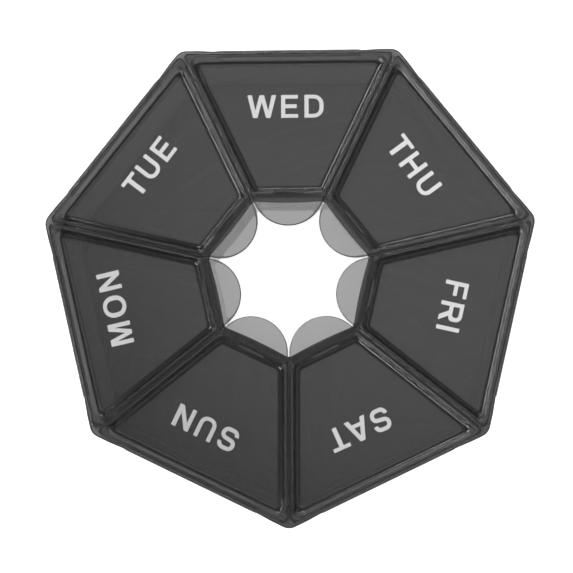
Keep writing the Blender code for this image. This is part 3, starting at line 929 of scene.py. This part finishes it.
class PILLCASE_OT_stage(Operator):
    """Set the floor, the studio light and the camera"""
    bl_idname = "pill_case.stage"
    bl_label = "Stage"

    def execute(self, context):
        look = context.scene.pill_case_stage
        self.set_floor(look)
        self.set_light(context, look)
        self.set_camera(context, look)
        context.scene.view_settings.view_transform = "Standard"
        return {"FINISHED"}

    def set_floor(self, look):
        """A plain pale floor, white to the eye, with a painted shadow under the case and round its foot where
        its glow is taken away.
        """
        mesh = bmesh.new()
        bmesh.ops.create_grid(mesh, x_segments=FLOOR_CELLS, y_segments=FLOOR_CELLS, size=FLOOR_REACH)
        floor = new_piece("floor", mesh)
        material, tree = new_material("pale_floor")
        place = node(tree, "ShaderNodeMapping", Vector=node(tree, "ShaderNodeTexCoord").outputs["Object"],
                     Location=(-CENTRE.x, -CENTRE.y, 0)).outputs[0]
        parts = node(tree, "ShaderNodeSeparateXYZ", Vector=place)
        angle = maths(tree, "ARCTAN2", parts.outputs["X"], parts.outputs["Y"])
        sector = maths(tree, "COSINE", maths(tree, "WRAP", angle, HALF_TURN, -HALF_TURN))
        reach = node(tree, "ShaderNodeVectorMath", _0=place)
        reach.operation = "LENGTH"
        apothem = maths(tree, "MULTIPLY", reach.outputs["Value"], sector)
        outside = remap(tree, apothem, *PAINTED_SHADOW_FROM, 0.0, 1.0)
        path = node(tree, "ShaderNodeLightPath")
        through = maths(tree, "MAXIMUM", path.outputs["Is Glossy Ray"], path.outputs["Is Transmission Ray"])
        shares = []
        # Painted shadow: the glow is taken away between the opening and the case's foot and fades back in
        # past it, further out for rays seen through the plastic
        for rays, shadow_edge in ((path.outputs["Is Camera Ray"], PAINTED_SHADOW_TO_EYE), (through, PAINTED_SHADOW_TO_PLASTIC)):
            under = remap(tree, apothem, *shadow_edge, 1.0, 0.0, smooth=True)
            unshadowed = maths(tree, "SUBTRACT", 1.0, maths(tree, "MULTIPLY", outside, under))
            shares.append(maths(tree, "MULTIPLY", rays, unshadowed))
        strength = maths(tree, "MULTIPLY", maths(tree, "MAXIMUM", *shares), look.floor_glow)
        glow = node(tree, "ShaderNodeEmission", Color=WHITE, Strength=strength)
        paint = node(tree, "ShaderNodeBsdfDiffuse", Color=(*look.floor_colour, 1.0))
        both = node(tree, "ShaderNodeAddShader", _0=glow.outputs[0], _1=paint.outputs[0])
        node(tree, "ShaderNodeOutputMaterial", Surface=both.outputs[0])
        floor.data.materials.append(material)

    def set_light(self, context, look):
        """A dim room, a soft light overhead, three low strips on the left and a weak one on the right."""
        world = bpy.data.worlds.new("soft_studio")
        context.scene.world = world
        world.use_nodes = True
        tree = world.node_tree
        tree.nodes.clear()
        way = node(tree, "ShaderNodeTexCoord").outputs["Generated"]
        turn = Matrix.Rotation(-OVERHEAD_HEADING, 3, "Z") @ Matrix.Rotation(-OVERHEAD_LEAN, 3, "X")
        above = turn @ Vector((0, 0, 1))
        cap = self.lit(tree, way, above, OVERHEAD_HALF, OVERHEAD_SOFT, look.overhead)
        level = maths(tree, "ADD", look.room, cap)
        sideways = node(tree, "ShaderNodeVectorMath", _0=way, _1=(1.0, 1.0, 0.0))
        sideways.operation = "MULTIPLY"
        around = node(tree, "ShaderNodeVectorMath", _0=sideways.outputs[0])
        around.operation = "NORMALIZE"
        height = node(tree, "ShaderNodeSeparateXYZ", Vector=way).outputs["Z"]
        rise = remap(tree, height, STRIP_LOW, STRIP_LOW + STRIP_FADE, 0.0, 1.0, smooth=True)
        fall = remap(tree, height, STRIP_HIGH - STRIP_FADE, STRIP_HIGH, 1.0, 0.0, smooth=True)
        band = maths(tree, "MULTIPLY", rise, fall)
        for heading, half, share in STRIPS:
            heading = math.radians(heading)
            aim = Vector((math.sin(heading), math.cos(heading), 0.0))
            strip = self.lit(tree, around.outputs[0], aim, half, STRIP_SOFT, look.strips * share)
            level = maths(tree, "ADD", level, maths(tree, "MULTIPLY", strip, band))
        sky = node(tree, "ShaderNodeBackground", Color=WHITE, Strength=level)
        node(tree, "ShaderNodeOutputWorld", Surface=sky.outputs[0])

    def lit(self, tree, way, aim, half, soft, strength):
        """Light from the directions within an angle of an aim, in degrees, with a soft edge."""
        facing = node(tree, "ShaderNodeVectorMath", _0=way, _1=aim)
        facing.operation = "DOT_PRODUCT"
        outer, inner = (math.cos(math.radians(half + side)) for side in (soft, -soft))
        return remap(tree, facing.outputs["Value"], outer, inner, 0.0, strength, smooth=True)

    def set_camera(self, context, look):
        """The photograph's place, height and framing."""
        data = bpy.data.cameras.new("camera")
        data.lens = look.lens
        data.sensor_width = SENSOR_WIDTH
        data.clip_start = CLIP_START
        camera = bpy.data.objects.new("camera", data)
        context.scene.collection.objects.link(camera)
        middle = Vector((CENTRE.x, CENTRE.y, LID_TOP))
        camera.location = middle + Vector(look.camera)
        back = (Vector(look.camera) - Vector(look.aim)).normalized()
        side = Vector((0, 1, 0)).cross(back).normalized()
        upright = Matrix((side, back.cross(side), back)).transposed()
        camera.rotation_euler = (upright @ Matrix.Rotation(look.roll, 3, "Z")).to_euler()
        context.scene.camera = camera


STEPS = (PILLCASE_OT_tray, PILLCASE_OT_lids, PILLCASE_OT_film_hinges, PILLCASE_OT_weekdays, PILLCASE_OT_stage)
GROUPS = {
    "pill_case_tray": TraySizes,
    "pill_case_lids": LidSizes,
    "pill_case_film": FilmSizes,
    "pill_case_letters": LetterSizes,
    "pill_case_plastic": PlasticLook,
    "pill_case_stage": StageLook,
}


class PILLCASE_PT_panel(Panel):
    """Sizes and steps of the pill case"""
    bl_idname = "PILLCASE_PT_panel"
    bl_label = "Pill Case"
    bl_space_type = "VIEW_3D"
    bl_region_type = "UI"
    bl_category = "Pill Case"

    def draw(self, context):
        layout = self.layout
        for step in STEPS:
            layout.operator(step.bl_idname)
        for name, group in GROUPS.items():
            box = layout.box()
            box.label(text=group.__doc__)
            for key in group.__annotations__:
                box.prop(getattr(context.scene, name), key)


def register():
    """Add the settings, the operators and the panel."""
    for name, group in GROUPS.items():
        bpy.utils.register_class(group)
        setattr(bpy.types.Scene, name, PointerProperty(type=group))
    for made in (*STEPS, PILLCASE_PT_panel):
        bpy.utils.register_class(made)


def unregister():
    """Take them out again."""
    for made in (PILLCASE_PT_panel, *reversed(STEPS)):
        bpy.utils.unregister_class(made)
    for name, group in reversed(GROUPS.items()):
        delattr(bpy.types.Scene, name)
        bpy.utils.unregister_class(group)


def main():
    """Build every piece and the stage."""
    register()
    bpy.ops.pill_case.tray()
    bpy.ops.pill_case.lids()
    bpy.ops.pill_case.film_hinges()
    bpy.ops.pill_case.weekdays()
    bpy.ops.pill_case.stage()


if __name__ == "__main__":
    main()
